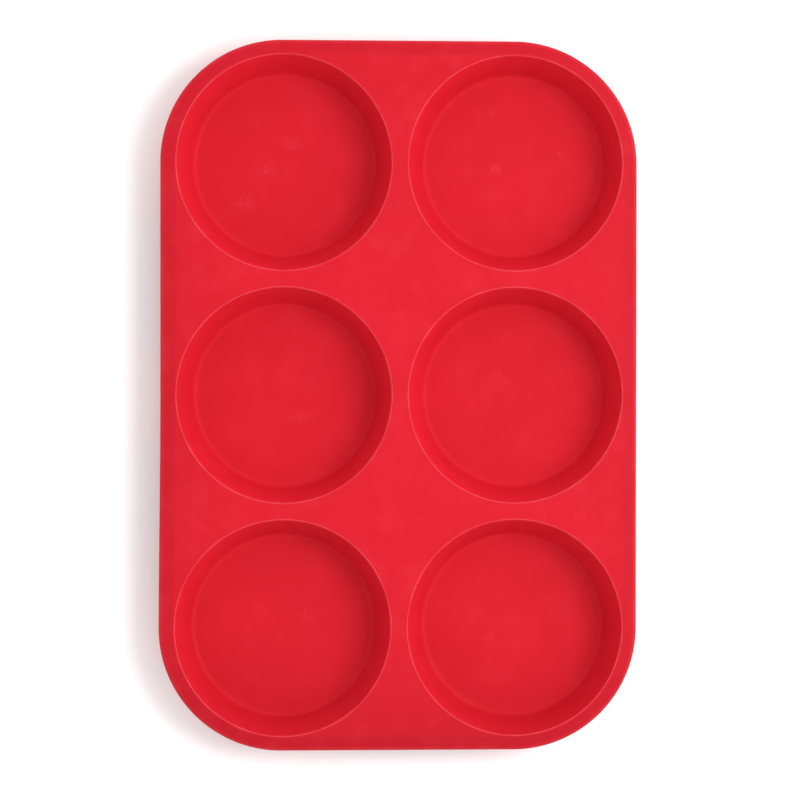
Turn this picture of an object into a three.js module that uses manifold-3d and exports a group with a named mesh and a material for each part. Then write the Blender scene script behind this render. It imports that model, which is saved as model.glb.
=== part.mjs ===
// Six-cup silicone baking pan: one flexible sheet moulding with shallow round cups hanging from a flat deck.
// Millimetres, +Z up, +Y along the pan's long side. The origin is under the middle of the pan, on the plane
// that the cup floors stand on.
// The moulding is divided where its own regions meet: the deck with its six mouths, the thickened edge that
// runs round it, and each cup below its mouth.
import * as THREE from "three";
import { mergeVertices } from "three/addons/utils/BufferGeometryUtils.js";
import Module from "manifold-3d";

// Layout of the cups
const COLUMNS = ["left", "right"];
const ROWS = ["front", "middle", "back"];
const CUP_PITCH = 96.5;
const MOUTH_RADIUS = 44.75;
const MOUTH_TO_EDGE = 6.2;

// Section through a cup
const HEIGHT = 20;
const SHEET = 2;
const WALL_DRAFT = THREE.MathUtils.degToRad(20);
const FLOOR_FILLET = 3.2;
const LIP_ROUND = 0.6;

// Thickened edge of the deck
const EDGE_WIDTH = 4.5;
const EDGE_DEPTH = 3;
const EDGE_SLOPE = THREE.MathUtils.degToRad(8);
const EDGE_TOP_ROUND = 1.4;
const EDGE_BOTTOM_ROUND = 0.8;
const EDGE_BLEND = 1.2;

// Clearance between neighbouring regions
const GAP = 0.3;

// Facets
const CUP_SEGMENTS = 48;
const CORNER_SEGMENTS = 12;
const ROUND_SEGMENTS = 4;

// Worked out from the above
const DECK_TOP = HEIGHT;
const DECK_UNDERSIDE = HEIGHT - SHEET;
const CORNER_RADIUS = MOUTH_RADIUS + MOUTH_TO_EDGE;
const HALF_WIDTH = ((COLUMNS.length - 1) * CUP_PITCH) / 2 + CORNER_RADIUS;
const HALF_LENGTH = ((ROWS.length - 1) * CUP_PITCH) / 2 + CORNER_RADIUS;

const SILICONE = { color: 0xdc2a38, roughness: 0.55, metalness: 0 };

// Inside radius of a cup's straight wall at a height above the standing plane.
function wallRadius(z) {
  return MOUTH_RADIUS - (DECK_TOP - z) * Math.tan(WALL_DRAFT);
}

// Points of a round between two directions, measured from +X towards +Y, about a centre.
function arc(x, y, radius, from, to, segments) {
  const points = [];
  for (let i = 0; i <= segments; i += 1) {
    const angle = THREE.MathUtils.lerp(from, to, i / segments);
    points.push(new THREE.Vector2(x + radius * Math.cos(angle), y + radius * Math.sin(angle)));
  }
  return points;
}

// Closed outline of the pan in plan, moved inwards by an inset.
function panOutline(inset) {
  const x = HALF_WIDTH - CORNER_RADIUS;
  const y = HALF_LENGTH - CORNER_RADIUS;
  const centres = [[x, y], [-x, y], [-x, -y], [x, -y]];
  return centres.flatMap(([cx, cy], quarter) => {
    const from = (quarter * Math.PI) / 2;
    return arc(cx, cy, CORNER_RADIUS - inset, from, from + Math.PI / 2, CORNER_SEGMENTS);
  });
}

// A manifold solid of a closed three.js geometry.
function toSolid(wasm, geometry) {
  const bare = geometry.clone();
  bare.deleteAttribute("normal");
  bare.deleteAttribute("uv");
  const merged = mergeVertices(bare, 1e-4);
  return new wasm.Manifold(
    new wasm.Mesh({
      numProp: 3,
      vertProperties: new Float32Array(merged.attributes.position.array),
      triVerts: new Uint32Array(merged.index.array),
    }),
  );
}

// A three.js geometry of a manifold solid.
function toGeometry(solid) {
  const { vertProperties, triVerts } = solid.getMesh();
  const geometry = new THREE.BufferGeometry();
  geometry.setAttribute("position", new THREE.BufferAttribute(vertProperties, 3));
  geometry.setIndex(new THREE.BufferAttribute(triVerts, 1));
  const flat = geometry.toNonIndexed();
  flat.computeVertexNormals();
  return flat;
}

// A solid of revolution about +Z from a profile of (radius, height) points.
function turned(profile) {
  return new THREE.LatheGeometry(profile, CUP_SEGMENTS).rotateX(Math.PI / 2);
}

function siliconeMesh(name, geometry) {
  const mesh = new THREE.Mesh(geometry, new THREE.MeshStandardMaterial(SILICONE));
  mesh.name = name;
  return mesh;
}

// The space of one mouth: it follows the cup's draft through the deck and opens in a small round at the top.
function mouthCutter() {
  const below = DECK_UNDERSIDE - SHEET;
  const above = DECK_TOP + SHEET;
  const lipRadius = MOUTH_RADIUS + LIP_ROUND * Math.tan((Math.PI / 2 - WALL_DRAFT) / 2);
  const lipHeight = DECK_TOP - LIP_ROUND;
  const lip = arc(lipRadius, lipHeight, LIP_ROUND, Math.PI - WALL_DRAFT, Math.PI / 2, ROUND_SEGMENTS);
  return turned([
    new THREE.Vector2(0, below),
    new THREE.Vector2(wallRadius(below), below),
    ...lip,
    new THREE.Vector2(lipRadius, above),
    new THREE.Vector2(0, above),
  ]);
}

// The flat sheet inside the thickened edge, with a mouth over each cup.
function deck(wasm, centres) {
  const shape = new THREE.Shape(panOutline(EDGE_WIDTH + GAP));
  const sheet = new THREE.ExtrudeGeometry(shape, { depth: SHEET, bevelEnabled: false });
  sheet.translate(0, 0, DECK_UNDERSIDE);
  const solid = centres.reduce((rest, { x, y }) => {
    const cutter = toSolid(wasm, mouthCutter().translate(x, y, 0));
    return rest.subtract(cutter);
  }, toSolid(wasm, sheet));
  return siliconeMesh("deck", toGeometry(solid));
}

// Section of the thickened edge as (distance in from the pan's outline, height) points. Its top slopes down
// from the deck to the outer round.
function edgeSection() {
  const bottom = DECK_TOP - EDGE_DEPTH;
  const slopeStart = Math.PI / 2 + EDGE_SLOPE;
  const slopeWidth = EDGE_WIDTH - EDGE_TOP_ROUND * (1 - Math.sin(EDGE_SLOPE));
  const slopeFoot = DECK_TOP - slopeWidth * Math.tan(EDGE_SLOPE);
  const topCentre = slopeFoot - EDGE_TOP_ROUND * Math.cos(EDGE_SLOPE);
  const bottomCentre = bottom + EDGE_BOTTOM_ROUND;
  return [
    ...arc(EDGE_BOTTOM_ROUND, bottomCentre, EDGE_BOTTOM_ROUND, -Math.PI / 2, -Math.PI, ROUND_SEGMENTS),
    ...arc(EDGE_TOP_ROUND, topCentre, EDGE_TOP_ROUND, Math.PI, slopeStart, ROUND_SEGMENTS),
    new THREE.Vector2(EDGE_WIDTH, DECK_TOP),
    new THREE.Vector2(EDGE_WIDTH, DECK_UNDERSIDE),
    new THREE.Vector2(EDGE_WIDTH - EDGE_BLEND, bottom),
  ];
}

// The thickened edge: its section carried round the pan's outline.
function perimeterRim() {
  const section = edgeSection();
  const rings = section.map(({ x, y }) => panOutline(x).map((p) => new THREE.Vector3(p.x, p.y, y)));
  const along = rings[0].length;
  const around = rings.length;
  const index = [];
  for (let ring = 0; ring < around; ring += 1) {
    for (let step = 0; step < along; step += 1) {
      const nextRing = (ring + 1) % around;
      const nextStep = (step + 1) % along;
      const a = ring * along + step;
      const b = ring * along + nextStep;
      const c = nextRing * along + nextStep;
      const d = nextRing * along + step;
      index.push(a, b, c, a, c, d);
    }
  }
  const geometry = new THREE.BufferGeometry().setFromPoints(rings.flat());
  geometry.setIndex(index);
  geometry.computeVertexNormals();
  return siliconeMesh("perimeter_rim", geometry);
}

// One cup below its mouth: a drafted wall that rounds into a flat floor, the same thickness all over.
function cup(name, { x, y }) {
  const top = DECK_UNDERSIDE - GAP;
  const wallThickness = SHEET / Math.cos(WALL_DRAFT);
  const filletTangent = FLOOR_FILLET * Math.tan((Math.PI / 2 - WALL_DRAFT) / 2);
  const filletRadius = wallRadius(SHEET) - filletTangent;
  const filletHeight = SHEET + FLOOR_FILLET;
  const down = -Math.PI / 2;
  const inside = arc(filletRadius, filletHeight, FLOOR_FILLET, -WALL_DRAFT, down, ROUND_SEGMENTS);
  const outside = arc(filletRadius, filletHeight, filletHeight, down, -WALL_DRAFT, ROUND_SEGMENTS);
  const bowl = turned([
    new THREE.Vector2(0, 0),
    ...outside,
    new THREE.Vector2(wallRadius(top) + wallThickness, top),
    new THREE.Vector2(wallRadius(top), top),
    ...inside,
    new THREE.Vector2(0, SHEET),
  ]);
  const mesh = siliconeMesh(name, bowl);
  mesh.position.set(x, y, 0);
  return mesh;
}

// Names and centres of the cups, counted from the front left.
function cupPlaces() {
  return ROWS.flatMap((row, j) =>
    COLUMNS.map((column, i) => ({
      name: `cup_${row}_${column}`,
      x: (i - (COLUMNS.length - 1) / 2) * CUP_PITCH,
      y: (j - (ROWS.length - 1) / 2) * CUP_PITCH,
    })),
  );
}

const wasm = await Module();
wasm.setup();

const places = cupPlaces();
const pan = new THREE.Group();
pan.name = "baking_pan";
pan.add(deck(wasm, places));
pan.add(perimeterRim());
places.forEach((place) => pan.add(cup(place.name, place)));

export default pan;
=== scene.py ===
"""Red silicone baking pan with six shallow cups, seen from above on a pale floor.

The pan is one soft moulding. It is modelled as eight closed pieces, the deck, the perimeter rim and
six cups, that share their boundary points, so that no seam shows where they meet. Metres, in the
frame's own axes.
"""

import math

import bmesh
import bpy
import numpy as np
from mathutils import Matrix, Vector


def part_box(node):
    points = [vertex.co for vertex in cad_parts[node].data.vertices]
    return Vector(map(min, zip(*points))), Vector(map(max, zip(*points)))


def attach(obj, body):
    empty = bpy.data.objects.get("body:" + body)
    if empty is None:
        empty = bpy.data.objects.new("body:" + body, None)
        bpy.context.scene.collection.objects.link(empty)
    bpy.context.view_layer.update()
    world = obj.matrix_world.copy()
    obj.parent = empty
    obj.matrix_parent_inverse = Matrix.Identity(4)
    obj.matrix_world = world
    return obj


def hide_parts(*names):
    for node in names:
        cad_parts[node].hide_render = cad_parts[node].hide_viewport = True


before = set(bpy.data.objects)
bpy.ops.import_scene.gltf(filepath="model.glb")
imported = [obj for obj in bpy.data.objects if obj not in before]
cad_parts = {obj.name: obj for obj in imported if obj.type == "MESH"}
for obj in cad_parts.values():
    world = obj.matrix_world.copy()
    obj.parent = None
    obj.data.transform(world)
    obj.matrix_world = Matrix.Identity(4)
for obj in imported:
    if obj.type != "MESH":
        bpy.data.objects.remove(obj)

MM = 0.001
ROOT = "root"
# Pale lines along the lips and the upper edge: rubbed wear and a painted highlight
WEAR_AND_HIGHLIGHT = "edge_wear_and_highlight"
# Darker red: tone on the deck and painted shade towards its outline, in its border and at the front
TONE_AND_SHADE = "tone_and_shade"

# Section of the moulding. The flash is the fine line round its edge, and the flank of the flash is in
# shares of its width and of half its height.
SHEET = 2.0 * MM
WALL_DRAFT = math.radians(20.0)
FLOOR_FILLET = 2.6 * MM
LIP_ROUND = 0.4 * MM
LIP_BEAD_HEIGHT = 0.08 * MM
LIP_BEAD_WIDTH = 0.65 * MM
UNDERSIDE_FILLET = 0.35 * MM
EDGE_DEPTH = 3.0 * MM
EDGE_TOP_ROUND = 1.2 * MM
EDGE_BOTTOM_ROUND = 0.7 * MM
FLASH_WIDTH = 0.12 * MM
FLASH_HEIGHT = 0.3 * MM
FLASH_FLANK = (0.3, 0.4)
JOINT_GAP = 0.3 * MM

# Softness of the sheet: its slope at the border, its waves, and how its plan is drawn in or shifted.
# The pull on the left starts at this share of the front row's y.
EDGE_SLOPE_DROP = 0.55 * MM
EDGE_SLOPE_WIDTH = 6.2 * MM
EDGE_SLOPE_START = 0.6 * MM
DECK_WAVE = 0.22 * MM
DECK_WAVE_LENGTH = 90 * MM
DECK_WAVE_SEED = 1
FLOOR_WAVE = 0.16 * MM
FLOOR_WAVE_LENGTH = 55 * MM
FLOOR_WAVE_SEED = 2
BACK_SQUEEZE = 0.0060
FRONT_SQUEEZE = 0.0025
LEFT_PULL = 0.75 * MM
LEFT_PULL_START = 1.1
RIGHT_PULL = 0.3 * MM
CUP_SHIFT = 0.48 * MM

# The parts of a soft wave: their shares, and how each is turned and shortened against the one before
WAVE_SHARES = (0.55, 0.3, 0.15)
WAVE_TURN = 2.1
WAVE_SHORTER = 0.6
WAVE_ACROSS = 0.7
WAVE_SEED_TURN = 1.7

# Places and widths of the pale lines along the lips and along the pan's upper edge: rubbed wear and a
# painted highlight on the rounded edges
LIP_LINE_PLACE = 0.14 * MM
LIP_LINE_WIDTH = 0.38 * MM
EDGE_LINE_SHARE = 0.25
EDGE_LINE_PLACE = 0.8 * MM
EDGE_LINE_WIDTH = 0.8 * MM
LINE_CORE = 0.3

# Darker red: a little as tone over the whole deck, and painted shade in its border, towards its
# outline, and at the front of the pan
DECK_TONE = 0.10
BORDER_SHADE = 0.29
BORDER_FADE = (4.5 * MM, 7.0 * MM)
OUTER_SHADE = 0.21
OUTER_REACH = 45 * MM
FRONT_SHADE = 0.34
FRONT_REACH = 60 * MM

# Mesh fineness
RAYS = 144
DECK_RINGS = 16
RING_CROWDING = 1.7
FLOOR_SHARES = (0.04, 0.12, 0.24, 0.36, 0.48, 0.6, 0.72, 0.84, 0.93)
INNER_WALL_STEPS = 6
OUTER_WALL_STEPS = 5
MOUTH_WALL_STEPS = 3
FILLET_STEPS = 8
UNDERSIDE_STEPS = 3
LIP_STEPS = 6
BEAD_STEPS = 5
ROUND_STEPS = 6
WELD_DISTANCE = 0.002 * MM
SHARP_ANGLE = math.radians(50)
TINY = 1e-9

# The rim's section, in shares of its width, from the joint outwards on top and inwards underneath
RIM_TOP_SHARES = (1.0, 0.85, 0.7, 0.55, 0.42)
RIM_UNDER_SHARES = (0.4, 0.62)
RIM_BLEND_SHARE = 0.8
RIM_BLEND_RISE = 0.35

# View: a camera high above the deck, a little to the left of its middle
CAMERA_HEIGHT = 1200.0 * MM
CAMERA_FOOT = (-34.0 * MM, 0.0)
CAMERA_AIM = (0.72 * MM, -2.05 * MM)
SENSOR_WIDTH = 36.0
VIEW_WIDTH = 331.2 * MM

# Key light: degrees from +X towards +Y and above the floor, metres, watts
KEY_AZIMUTH = 8
KEY_ELEVATION = 53
KEY_DISTANCE = 1.1
KEY_SIZE = 0.52
KEY_POWER = 6.4

# Sky: how it changes with the height of the direction, from low to high, and how much brighter it is
# towards +X and +Y
SKY_FADE = (0.6, 1.0)
SKY_STRENGTH = (1.28, 0.72)
HORIZON_FADE = (0.0, 0.35)
HORIZON_STRENGTH = (1.7, 1.0)
SKY_TILT = (0.16, 0.12)

FLOOR_HALF_SIZE = 3.0
FLOOR_COLOUR = (0.93, 0.93, 0.93, 1.0)
FLOOR_ROUGHNESS = 0.9


# ---------------------------------------------------------------- frame

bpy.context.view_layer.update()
rim_low, rim_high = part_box("perimeter_rim")
deck_low, deck_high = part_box("deck")
CUP_NAMES = [n for n in sorted(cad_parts) if n.startswith("cup_")]


def cup_centre(name):
    low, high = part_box(name)
    return (low.x + high.x) / 2, (low.y + high.y) / 2


centres = {name: cup_centre(name) for name in CUP_NAMES}
cup_low, cup_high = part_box(CUP_NAMES[0])
columns = sorted({round(x, 6) for x, _ in centres.values()})
rows = sorted({round(y, 6) for _, y in centres.values()})
pitch = columns[1] - columns[0]

deck_top = rim_high.z
seam_height = cup_high.z
draft_tan = math.tan(WALL_DRAFT)
wall_width = SHEET / math.cos(WALL_DRAFT)
outer_at_seam = (cup_high.x - cup_low.x) / 2
inner_at_seam = outer_at_seam - wall_width
mouth_radius = inner_at_seam + (deck_top - seam_height) * draft_tan
corner_radius = rim_high.x - columns[-1]
joint_offset = deck_high.x + JOINT_GAP / 2 - columns[-1]
rim_width = corner_radius - joint_offset


# ---------------------------------------------------------------- shape of the moulding

def wall_radius(z):
    """Inside radius of a cup's wall at height z."""
    return mouth_radius - (deck_top - z) * draft_tan


def arc(r, z, radius, start, end, steps):
    """(r, z) points of a round, both ends included. Angles are in degrees, from +r towards +z."""
    turn = np.radians(np.linspace(start, end, steps + 1))
    return [(r + radius * math.cos(a), z + radius * math.sin(a)) for a in turn]


def smooth_noise(x, y, wave, seed):
    """A smooth height between about -1 and 1 that changes over one wave length."""
    turn = seed * WAVE_SEED_TURN
    value = np.zeros_like(x)
    for step, share in enumerate(WAVE_SHARES):
        angle = turn + step * WAVE_TURN
        reach = 2 * math.pi * (1 + WAVE_SHORTER * step) / wave
        along = x * math.cos(angle) + y * math.sin(angle)
        across = y * math.cos(angle) - x * math.sin(angle)
        value += share * np.sin(along * reach + turn) * np.cos(across * reach * WAVE_ACROSS + step)
    return value


def inset_of(x, y):
    """Distance from a point inwards to the pan's outline."""
    qx = np.abs(x) - (rim_high.x - corner_radius)
    qy = np.abs(y) - (rim_high.y - corner_radius)
    outside = np.hypot(np.maximum(qx, 0), np.maximum(qy, 0))
    return corner_radius - (outside + np.minimum(np.maximum(qx, qy), 0))


def smooth_step(value, low, high):
    t = np.clip((value - low) / (high - low), 0, 1)
    return t * t * (3 - 2 * t)


def settle(points):
    """Gives the ideal moulding the soft unevenness of the real sheet. It depends on place alone, so
    pieces that share a boundary still share it afterwards. In plan nothing leaves the ideal
    moulding's box."""
    x, y, z = points.T
    into_slope = np.clip(EDGE_SLOPE_WIDTH - inset_of(x, y), 0, None)
    slope = into_slope**2 / (into_slope + EDGE_SLOPE_START) / EDGE_SLOPE_WIDTH
    height_share = z / deck_top
    floor_share = 1 - height_share
    wave = (smooth_noise(x, y, DECK_WAVE_LENGTH, DECK_WAVE_SEED) - 1) / 2 * DECK_WAVE
    bulge = np.abs(smooth_noise(x, y, FLOOR_WAVE_LENGTH, FLOOR_WAVE_SEED)) * FLOOR_WAVE
    lift = (wave - LIP_BEAD_HEIGHT) * height_share + bulge * floor_share - EDGE_SLOPE_DROP * slope
    to_right = (x - rim_low.x) / (rim_high.x - rim_low.x)
    pull = LEFT_PULL * (1 - to_right) * smooth_step(y, LEFT_PULL_START * rows[0], rows[1])
    pull -= RIGHT_PULL * to_right * smooth_step(-y, rows[0], rows[2])
    inside = smooth_step(inset_of(x, y), 0, corner_radius - mouth_radius)
    pull += CUP_SHIFT * inside * (1 - smooth_step(x, 0, rim_high.x))
    squeeze = np.where(y > 0, BACK_SQUEEZE, FRONT_SQUEEZE) * to_right
    return np.column_stack([x + pull, y * (1 - squeeze), z + lift])


def ring(centre, radius, z):
    """RAYS points round a cup's axis."""
    turn = 2 * math.pi * np.arange(RAYS) / RAYS
    cx, cy = centre
    x, y = cx + radius * np.cos(turn), cy + radius * np.sin(turn)
    return np.column_stack([x, y, np.full(RAYS, z)])


def cell_edge(centre):
    """Where the rays of a cup's cell of deck end, and the outward direction there if that is at the
    rim, or None if the next cell begins there."""
    cx, cy = centre
    ends, outward = [], []
    for k in range(RAYS):
        turn = 2 * math.pi * k / RAYS
        c, s = math.cos(turn), math.sin(turn)
        outer_x = (cx > 0) == (c > 0) and abs(abs(cx) - columns[-1]) < MM
        outer_y = abs(abs(cy) - rows[-1]) < MM and (cy > 0) == (s > 0)
        if outer_x and outer_y:
            ends.append((cx + joint_offset * c, cy + joint_offset * s))
            outward.append((c, s))
            continue
        reach = max(abs(c), abs(s))
        half_x = joint_offset if outer_x else pitch / 2
        half_y = joint_offset if outer_y else pitch / 2
        ends.append((cx + half_x * c / reach, cy + half_y * s / reach))
        side_x = abs(c) >= abs(s) - TINY
        side_y = abs(s) >= abs(c) - TINY
        if outer_x and side_x:
            outward.append((math.copysign(1, c), 0.0))
        elif outer_y and side_y:
            outward.append((0.0, math.copysign(1, s)))
        else:
            outward.append(None)
    return ends, outward


def pale_line(away, width):
    """1 on a line and 0 beyond its half width, from the distance away from its middle."""
    return 1 - smooth_step(np.abs(away), LINE_CORE * width, width)


def edge_wear_and_highlight(points):
    """How pale each point of the ideal moulding is painted, as rubbed wear and a painted highlight on
    the
    rounded edges: most along the lips, less along the pan's upper edge."""
    x, y, z = points.T
    from_cups = np.min([np.hypot(x - cx, y - cy) for cx, cy in centres.values()], axis=0)
    lip = pale_line(from_cups - mouth_radius - LIP_LINE_PLACE, LIP_LINE_WIDTH)
    edge = pale_line(inset_of(x, y) - EDGE_LINE_PLACE, EDGE_LINE_WIDTH)
    near_top = smooth_step(z, deck_top - EDGE_TOP_ROUND, deck_top - LINE_CORE * EDGE_TOP_ROUND)
    return np.maximum(lip, EDGE_LINE_SHARE * edge) * near_top


def tone_and_shade(points):
    """How much darker the red is at each point of the ideal moulding: a little as tone all over the
    deck, and painted shade towards its outline, in its border, and at the front in the deck and the
    cups alike."""
    x, y, z = points.T
    inset = inset_of(x, y)
    border = 1 - smooth_step(inset, *BORDER_FADE)
    outer = 1 - smooth_step(inset, 0, OUTER_REACH)
    front = 1 - smooth_step(y, rim_low.y, rim_low.y + FRONT_REACH)
    darkening = DECK_TONE + BORDER_SHADE * border + OUTER_SHADE * outer
    return darkening * smooth_step(z, seam_height, deck_top) + FRONT_SHADE * front


# ---------------------------------------------------------------- meshes

class Sheets:
    """Collects grids of points as quads and makes one welded, closed mesh of them."""

    def __init__(self):
        self.points = []
        self.faces = []

    def add(self, points):
        first = sum(len(p) for p in self.points)
        self.points.append(np.asarray(points, float))
        return list(range(first, first + len(points)))

    def band(self, a, b):
        """Quads between two closed rows of the same length. The sheet's outside is on the left, going
        along a with b beyond it."""
        for k in range(len(a)):
            n = (k + 1) % len(a)
            self.faces.append((a[k], a[n], b[n], b[k]))

    def fan(self, tip, row):
        for k in range(len(row)):
            self.faces.append((tip, row[k], row[(k + 1) % len(row)]))

    def piece(self, name, material):
        ideal = np.vstack(self.points)
        mesh = bpy.data.meshes.new(name)
        mesh.from_pydata(settle(ideal).tolist(), [], self.faces)
        for key, values in ((WEAR_AND_HIGHLIGHT, edge_wear_and_highlight(ideal)), (TONE_AND_SHADE, tone_and_shade(ideal))):
            mesh.attributes.new(key, "FLOAT", "POINT").data.foreach_set("value", values)
        work = bmesh.new()
        work.from_mesh(mesh)
        bmesh.ops.remove_doubles(work, verts=work.verts, dist=WELD_DISTANCE)
        bmesh.ops.recalc_face_normals(work, faces=work.faces)
        work.to_mesh(mesh)
        work.free()
        mesh.shade_smooth()
        mesh.set_sharp_from_angle(angle=SHARP_ANGLE)
        made = bpy.data.objects.new(name, mesh)
        bpy.context.scene.collection.objects.link(made)
        mesh.materials.append(material)
        return made


def bowl_profile():
    """(r, z) points of a cup below its seam: up the inside from the floor's middle, then down the
    outside."""
    corner = FLOOR_FILLET * math.tan((math.pi / 2 - WALL_DRAFT) / 2)
    start = wall_radius(SHEET) - corner
    centre_z = SHEET + FLOOR_FILLET
    slant = math.degrees(WALL_DRAFT)
    floor_radii = [start * share for share in FLOOR_SHARES]
    inner_round = arc(start, centre_z, FLOOR_FILLET, -90, -slant, FILLET_STEPS)
    outer_round = arc(start, centre_z, FLOOR_FILLET + SHEET, -slant, -90, FILLET_STEPS)
    levels = np.linspace(inner_round[-1][1], seam_height, INNER_WALL_STEPS + 1)[1:]
    inner_wall = [(wall_radius(z), z) for z in levels]
    levels = np.linspace(seam_height, outer_round[0][1], OUTER_WALL_STEPS + 1)[:-1]
    outer_wall = [(wall_radius(z) + wall_width, z) for z in levels]
    inside = [(r, SHEET) for r in floor_radii] + inner_round + inner_wall
    outside = outer_wall + outer_round + [(r, 0.0) for r in reversed(floor_radii)]
    return inside + outside


def cup_piece(name, centre, material):
    """A cup below its seam with the deck: one closed skin from the floor's middle, over the seam and
    back to the middle of the underside."""
    made = Sheets()
    rings = [made.add(ring(centre, r, z)) for r, z in bowl_profile()]
    top_tip, = made.add([(*centre, SHEET)])
    low_tip, = made.add([(*centre, 0.0)])
    made.fan(top_tip, rings[0])
    for a, b in zip(rings, rings[1:]):
        made.band(b, a)
    made.fan(low_tip, list(reversed(rings[-1])))
    return made.piece(name, material)


def mouth_profile():
    """(r, z) points from the seam up the inside of a mouth, over its lip and the fine bead that runs
    along the lip, to the flat of the deck."""
    corner = LIP_ROUND * math.tan((math.pi / 2 - WALL_DRAFT) / 2)
    start = 180 - math.degrees(WALL_DRAFT)
    lip = arc(mouth_radius + corner, deck_top - LIP_ROUND, LIP_ROUND, start, 90, LIP_STEPS)
    first = lip[0][0]
    levels = np.linspace(seam_height, lip[0][1], MOUTH_WALL_STEPS + 1)[:-1]
    wall = [(wall_radius(z), z) for z in levels]
    beyond = np.linspace(lip[-1][0], first + LIP_BEAD_WIDTH, BEAD_STEPS + 1)[1:]
    for r, z in lip + [(r, deck_top) for r in beyond]:
        across = math.pi * (r - first) / LIP_BEAD_WIDTH
        wall.append((r, z + LIP_BEAD_HEIGHT * math.sin(across) ** 2))
    return wall


def underside_profile():
    """(r, z) points from the seam up the outside of a cup and through a small fillet to the deck's
    underside."""
    underside = deck_top - SHEET
    meet = wall_radius(underside) + wall_width
    corner = UNDERSIDE_FILLET * math.tan((math.pi / 2 + WALL_DRAFT) / 2)
    start = 180 - math.degrees(WALL_DRAFT)
    level = underside - UNDERSIDE_FILLET
    fillet = arc(meet + corner, level, UNDERSIDE_FILLET, start, 90, UNDERSIDE_STEPS)
    below = fillet[0][1]
    seam = (outer_at_seam, seam_height)
    if below <= seam_height:
        return [seam, (meet + corner, underside)]
    return [seam] + fillet


def deck_piece(material):
    """The flat sheet with its mouths, made of one cell round each cup. Cells weld to each other at
    their common edges and are closed by an upright face at the rim."""
    made = Sheets()
    spread = 1 - (1 - np.linspace(0, 1, DECK_RINGS + 1)[1:]) ** RING_CROWDING
    for name in CUP_NAMES:
        centre = centres[name]
        ends, outward = cell_edge(centre)
        top = [made.add(ring(centre, r, z)) for r, z in mouth_profile()]
        low = [made.add(ring(centre, r, z)) for r, z in underside_profile()]
        made.band(low[0], top[0])
        for rings, z, flip in ((top, deck_top, False), (low, deck_top - SHEET, True)):
            start = np.vstack(made.points)[rings[-1]]
            edge = np.column_stack([ends, np.full(RAYS, z)])
            for share in spread:
                rings.append(made.add(start + (edge - start) * share))
            for a, b in zip(rings, rings[1:]):
                made.band(*((b, a) if flip else (a, b)))
        for k in range(RAYS):
            n = (k + 1) % RAYS
            if outward[k] is not None and outward[n] is not None:
                made.faces.append((top[-1][k], top[-1][n], low[-1][n], low[-1][k]))
    return made.piece("deck_sheet", material)


def edge_section():
    """(distance in from the outline, z) points of the rim, from the joint with the deck over the top,
    down the outer side past the fine moulding line, and back underneath."""
    bottom = deck_top - EDGE_DEPTH
    side, half = FLASH_WIDTH, FLASH_HEIGHT / 2
    top, low = EDGE_TOP_ROUND, EDGE_BOTTOM_ROUND
    top_round = arc(side + top, deck_top - top, top, 90, 180, ROUND_STEPS)
    low_round = arc(side + low, bottom + low, low, 180, 270, ROUND_STEPS)
    line = (top_round[-1][1] + low_round[0][1]) / 2
    flank, rise = side * FLASH_FLANK[0], half * FLASH_FLANK[1]
    flash = [(side, line + half), (flank, line + rise), (0.0, line)]
    flash += [(flank, line - rise), (side, line - half)]
    flat = [(rim_width * share, deck_top) for share in RIM_TOP_SHARES]
    under = [(rim_width * share, bottom) for share in RIM_UNDER_SHARES]
    blend_level = bottom + RIM_BLEND_RISE * (EDGE_DEPTH - SHEET)
    blend = [(rim_width * RIM_BLEND_SHARE, blend_level), (rim_width, deck_top - SHEET)]
    return flat + top_round + flash + low_round + under + blend


def rim_piece(material):
    """The thickened edge, carried round the pan on the outward directions of the cells' outer ends."""
    made = Sheets()
    section = edge_section()
    for name in CUP_NAMES:
        ends, outward = cell_edge(centres[name])
        for k in range(RAYS):
            n = (k + 1) % RAYS
            if outward[k] is None or outward[n] is None:
                continue
            loops = []
            for (x, y), (ox, oy) in ((ends[k], outward[k]), (ends[n], outward[n])):
                out = [(rim_width - inset, z) for inset, z in section]
                loops.append(made.add([(x + ox * far, y + oy * far, z) for far, z in out]))
            made.band(*loops)
    return made.piece("rim_edge", material)


# ---------------------------------------------------------------- materials

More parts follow.
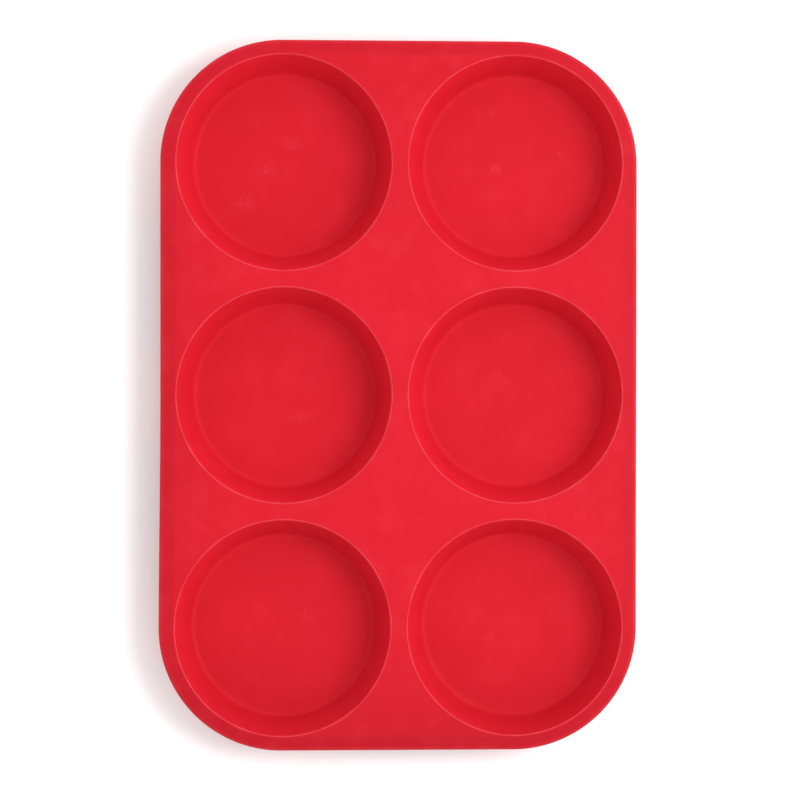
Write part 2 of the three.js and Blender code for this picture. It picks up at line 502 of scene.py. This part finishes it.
class Nodes:
    """Short calls for building a node tree."""

    def __init__(self, tree):
        self.tree = tree

    def node(self, kind, **settings):
        made = self.tree.nodes.new(kind)
        for key, value in settings.items():
            if key in made.inputs:
                made.inputs[key].default_value = value
            else:
                setattr(made, key, value)
        return made

    def link(self, source, target):
        self.tree.links.new(source, target)

    def math(self, operation, a, b):
        made = self.node("ShaderNodeMath", operation=operation)
        for socket, value in zip(made.inputs, (a, b)):
            if isinstance(value, (int, float)):
                socket.default_value = value
            else:
                self.link(value, socket)
        return made.outputs[0]

    def local(self, place, origin, scale):
        """A place taken from an origin and divided by a scale."""
        settings = {"vector_type": "TEXTURE", "Location": origin, "Scale": scale}
        made = self.node("ShaderNodeMapping", **settings)
        self.link(place, made.inputs["Vector"])
        return made.outputs[0]

    def place(self):
        """Position on the object in millimetres."""
        where = self.node("ShaderNodeTexCoord").outputs["Object"]
        return self.local(where, (0.0, 0.0, 0.0), (MM, MM, MM))

    def noise(self, place, per_mm, detail, rough, seed):
        """Noise from 0 to 1 with a size given by cells per millimetre."""
        made = self.node("ShaderNodeTexNoise", noise_dimensions="4D")
        for key, number in (("W", seed), ("Scale", per_mm), ("Detail", detail), ("Roughness", rough)):
            made.inputs[key].default_value = number
        self.link(place, made.inputs["Vector"])
        return made.outputs[0]

    def ramp(self, value, low, high, to_low=0.0, to_high=1.0):
        """value mapped smoothly from low..high to to_low..to_high."""
        made = self.node("ShaderNodeMapRange", interpolation_type="SMOOTHSTEP")
        numbers = {"From Min": low, "From Max": high, "To Min": to_low, "To Max": to_high}
        for key, number in numbers.items():
            made.inputs[key].default_value = number
        self.link(value, made.inputs["Value"])
        return made.outputs[0]

    def mix(self, factor, a, b):
        """Colour a turning into colour b."""
        made = self.node("ShaderNodeMix", data_type="RGBA")
        for socket, value in ((made.inputs["A"], a), (made.inputs["B"], b)):
            if isinstance(value, tuple):
                socket.default_value = value
            else:
                self.link(value, socket)
        for socket in made.inputs:
            if socket.name == "Factor" and socket.type == "VALUE":
                self.link(factor, socket)
        return [o for o in made.outputs if o.type == "RGBA"][0]


RED = (0.570, 0.0112, 0.0230, 1.0)
DEEP_RED = (0.545, 0.0106, 0.0215, 1.0)
# Darker red of the painted shade
SHADE_RED = (0.400, 0.0075, 0.0160, 1.0)
POWDER = (0.610, 0.0330, 0.0520, 1.0)
# Paler red of the lines along the lips and upper edge: rubbed wear and a painted highlight
WORN_AND_HIGHLIGHT = (0.630, 0.0520, 0.0740, 1.0)
LINT = (0.800, 0.2600, 0.2800, 1.0)

# Noises: cells per millimetre, detail, roughness and seed
BLOTCH = (0.03, 2, 0.5, 1.0)
MOTTLE = (0.11, 4, 0.55, 4.0)
GRAIN = (1.7, 3, 0.6, 6.0)
CRUMBS = (0.7, 5, 0.7, 9.0)
PEEL = (0.2, 2, 0.55, 11.0)

# Shares of blotch and mottle in the tone, and the noise values that bound its change of colour
BLOTCH_SHARE = 0.7
MOTTLE_SHARE = 0.3
TONE_RANGE = (0.38, 0.62)

# Powder, pale lines of rubbed wear and painted highlight, and roughness: a range of noise values, and
# what it is turned into
POWDER_PATCHES = (0.45, 0.75)
POWDER_GRAIN = (0.3, 0.7, 0.5, 1.0)
LINE_PATCHES = (0.3, 0.7, 0.45, 0.9)
ROUGH_PATCHES = (0.3, 0.7, 0.44, 0.50)
MARK_GRAIN = (0.42, 0.62)
MARK_FADE = (0.15, 1.0)

# Lint: cells per millimetre, a speck's size within its cell, and which cells have one
SPECKS_PER_MM = 0.2
SPECK_EDGE = (0.03, 0.055, 1.0, 0.0)
SPECK_CHANCE = (0.88, 0.98, 0.0, 0.4)

GRAIN_ROUGHNESS = 0.06
GRAIN_HEIGHT = 0.012 * MM
PEEL_HEIGHT = 0.04 * MM
BUMP_STRENGTH = 0.5
SPECULAR = 0.055

# How much powder lies on the deck, the rim and the cups
DECK_BLOOM = 0.22
RIM_BLOOM = 0.2
CUP_BLOOM = 0.15

# Powdery marks on the cups' floors: place from the cup's middle, half width and half height in mm, and
# strength
MARKS = {
    "cup_back_left": [
        (-6.5, -1.6, 6.0, 6.0, 0.7), (4.0, 8.9, 5.0, 4.0, 0.7), (-15.9, -16.2, 7.0, 6.0, 0.6),
        (-13.5, -13.5, 3.4, 0.35, 1.0),
    ],
    "cup_back_right": [
        (-6.9, -1.8, 3.5, 3.5, 1.0), (-8.2, 22.8, 3.0, 3.0, 0.7), (-4.9, 14.0, 1.2, 1.2, 1.0),
        (8.3, 8.8, 0.7, 0.7, 1.0), (20.2, 4.9, 1.5, 1.5, 0.8),
    ],
    "cup_middle_left": [(7.0, -9.0, 8.0, 5.0, 0.4)],
    "cup_middle_right": [(-5.0, 6.0, 6.0, 7.0, 0.4)],
    "cup_front_left": [(10.0, 4.0, 6.0, 5.0, 0.3)],
    "cup_front_right": [(-9.0, -6.0, 5.0, 6.0, 0.3)],
}


def new_material(name):
    material = bpy.data.materials.new(name)
    material.use_nodes = True
    return material, Nodes(material.node_tree), material.node_tree.nodes["Principled BSDF"]


def powder_marks(n, place, marks, centre, grain):
    """The strongest of the marks at each place, broken up by the grain."""
    total = None
    cx, cy = centre
    for dx, dy, half_width, half_height, strength in marks:
        origin = (cx / MM + dx, cy / MM + dy, SHEET / MM)
        local = n.local(place, origin, (half_width, half_height, half_width))
        reach = n.node("ShaderNodeVectorMath", operation="LENGTH")
        n.link(local, reach.inputs[0])
        mark = n.ramp(reach.outputs["Value"], *MARK_FADE, strength, 0.0)
        total = mark if total is None else n.math("MAXIMUM", total, mark)
    return n.math("MULTIPLY", total, n.ramp(grain, *MARK_GRAIN))


def silicone(name, bloom, marks=None, centre=None):
    """Satin red silicone: faint blotches in its tone, painted shade where the mesh asks for it, a thin
    powdery bloom, sparse lint, lips and upper edge painted paler as rubbed wear and a painted
    highlight, and the fine grain of the mould. bloom is how much powder lies on it. The noises go by
    place, so that they run on from one piece to the next."""
    material, n, surface = new_material(name)
    place = n.place()
    blotch, mottle = n.noise(place, *BLOTCH), n.noise(place, *MOTTLE)
    grain, crumbs = n.noise(place, *GRAIN), n.noise(place, *CRUMBS)

    tone = n.math("MULTIPLY", blotch, BLOTCH_SHARE)
    tone = n.math("ADD", tone, n.math("MULTIPLY", mottle, MOTTLE_SHARE))
    colour = n.mix(n.ramp(tone, *TONE_RANGE), DEEP_RED, RED)
    # Painted shade: the red turns darker in the deck's border, towards its outline and at the front
    darkening = n.node("ShaderNodeAttribute", attribute_name=TONE_AND_SHADE).outputs["Fac"]
    colour = n.mix(darkening, colour, SHADE_RED)

    powder = n.math("MULTIPLY", n.ramp(mottle, *POWDER_PATCHES), n.ramp(grain, *POWDER_GRAIN))
    powder = n.math("MULTIPLY", powder, bloom)
    if marks:
        powder = n.math("MAXIMUM", powder, powder_marks(n, place, marks, centre, crumbs))
    colour = n.mix(powder, colour, POWDER)

    # Lips and upper edge painted paler: rubbed wear and a painted highlight on the rounded edges
    wear_and_highlight = n.node("ShaderNodeAttribute", attribute_name=WEAR_AND_HIGHLIGHT).outputs["Fac"]
    wear_and_highlight = n.math("MULTIPLY", wear_and_highlight, n.ramp(mottle, *LINE_PATCHES))
    colour = n.mix(wear_and_highlight, colour, WORN_AND_HIGHLIGHT)

    specks = n.node("ShaderNodeTexVoronoi", feature="F1", Scale=SPECKS_PER_MM)
    n.link(place, specks.inputs["Vector"])
    chosen = n.node("ShaderNodeSeparateColor")
    n.link(specks.outputs["Color"], chosen.inputs[0])
    dots = n.ramp(specks.outputs["Distance"], *SPECK_EDGE)
    dots = n.math("MULTIPLY", dots, n.ramp(chosen.outputs[0], *SPECK_CHANCE))
    colour = n.mix(dots, colour, LINT)
    n.link(colour, surface.inputs["Base Color"])

    rough = n.math("MULTIPLY", grain, GRAIN_ROUGHNESS)
    n.link(n.math("ADD", n.ramp(mottle, *ROUGH_PATCHES), rough), surface.inputs["Roughness"])
    fine = n.node("ShaderNodeBump", Strength=BUMP_STRENGTH, Distance=GRAIN_HEIGHT)
    n.link(grain, fine.inputs["Height"])
    peel = n.node("ShaderNodeBump", Strength=BUMP_STRENGTH, Distance=PEEL_HEIGHT)
    n.link(n.noise(place, *PEEL), peel.inputs["Height"])
    n.link(fine.outputs[0], peel.inputs["Normal"])
    n.link(peel.outputs[0], surface.inputs["Normal"])
    surface.inputs["Specular IOR Level"].default_value = SPECULAR
    return material


def plain(name, colour, roughness):
    material, _, surface = new_material(name)
    surface.inputs["Base Color"].default_value = colour
    surface.inputs["Roughness"].default_value = roughness
    return material


# ---------------------------------------------------------------- pan

def place_piece(piece, node):
    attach(piece, ROOT)
    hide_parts(node)


place_piece(deck_piece(silicone("deck_silicone", DECK_BLOOM)), "deck")
place_piece(rim_piece(silicone("rim_silicone", RIM_BLOOM)), "perimeter_rim")
for cup_name in CUP_NAMES:
    bowl_name = cup_name.replace("cup_", "bowl_")
    centre = centres[cup_name]
    finish = silicone(bowl_name + "_silicone", CUP_BLOOM, MARKS[cup_name], centre)
    place_piece(cup_piece(bowl_name, centre, finish), cup_name)


# ---------------------------------------------------------------- studio

def area_light(name, target, azimuth, elevation, distance, size, power):
    """A square soft box that faces target from a direction given in degrees, azimuth from +X towards
    +Y."""
    data = bpy.data.lights.new(name, "AREA")
    data.shape = "SQUARE"
    data.size = size
    data.energy = power
    lamp = bpy.data.objects.new(name, data)
    turn, lift = math.radians(azimuth), math.radians(elevation)
    away = Vector((math.cos(turn) * math.cos(lift), math.sin(turn) * math.cos(lift), math.sin(lift)))
    lamp.location = Vector(target) + away * distance
    lamp.rotation_euler = away.to_track_quat("Z", "Y").to_euler()
    bpy.context.scene.collection.objects.link(lamp)


def studio_floor():
    size = FLOOR_HALF_SIZE
    mesh = bpy.data.meshes.new("studio_floor")
    corners = [(-size, -size, 0.0), (size, -size, 0.0), (size, size, 0.0), (-size, size, 0.0)]
    mesh.from_pydata(corners, [], [(0, 1, 2, 3)])
    mesh.materials.append(plain("pale_floor", FLOOR_COLOUR, FLOOR_ROUGHNESS))
    floor = bpy.data.objects.new("studio_floor", mesh)
    bpy.context.scene.collection.objects.link(floor)


def studio_world():
    """A white sky, darker straight above, brighter at the horizon, and a little brighter towards +X and
    +Y."""
    world = bpy.data.worlds.new("studio")
    world.use_nodes = True
    bpy.context.scene.world = world
    n = Nodes(world.node_tree)
    way = n.node("ShaderNodeSeparateXYZ")
    n.link(n.node("ShaderNodeTexCoord").outputs["Generated"], way.inputs[0])
    height = n.ramp(way.outputs["Z"], *SKY_FADE, *SKY_STRENGTH)
    horizon = n.ramp(way.outputs["Z"], *HORIZON_FADE, *HORIZON_STRENGTH)
    height = n.math("MULTIPLY", height, horizon)
    side = n.math("ADD", n.math("MULTIPLY", way.outputs["X"], SKY_TILT[0]), 1.0)
    side = n.math("ADD", n.math("MULTIPLY", way.outputs["Y"], SKY_TILT[1]), side)
    sky = world.node_tree.nodes["Background"]
    sky.inputs["Color"].default_value = (1.0, 1.0, 1.0, 1.0)
    n.link(n.math("MULTIPLY", height, side), sky.inputs["Strength"])


def camera():
    data = bpy.data.cameras.new("camera")
    data.sensor_width = SENSOR_WIDTH
    eye = Vector((*CAMERA_FOOT, deck_top + CAMERA_HEIGHT))
    aim = Vector((*CAMERA_AIM, deck_top))
    data.lens = SENSOR_WIDTH * (eye - aim).length / VIEW_WIDTH
    back = (eye - aim).normalized()
    right = Vector((0.0, 1.0, 0.0)).cross(back).normalized()
    turn = Matrix((right, back.cross(right), back)).transposed()
    made = bpy.data.objects.new("camera", data)
    made.matrix_world = Matrix.Translation(eye) @ turn.to_4x4()
    bpy.context.scene.collection.objects.link(made)
    bpy.context.scene.camera = made


studio_floor()
studio_world()
area_light("key", (0.0, 0.0, deck_top), KEY_AZIMUTH, KEY_ELEVATION, KEY_DISTANCE, KEY_SIZE, KEY_POWER)
camera()
bpy.context.scene.view_settings.view_transform = "Standard"
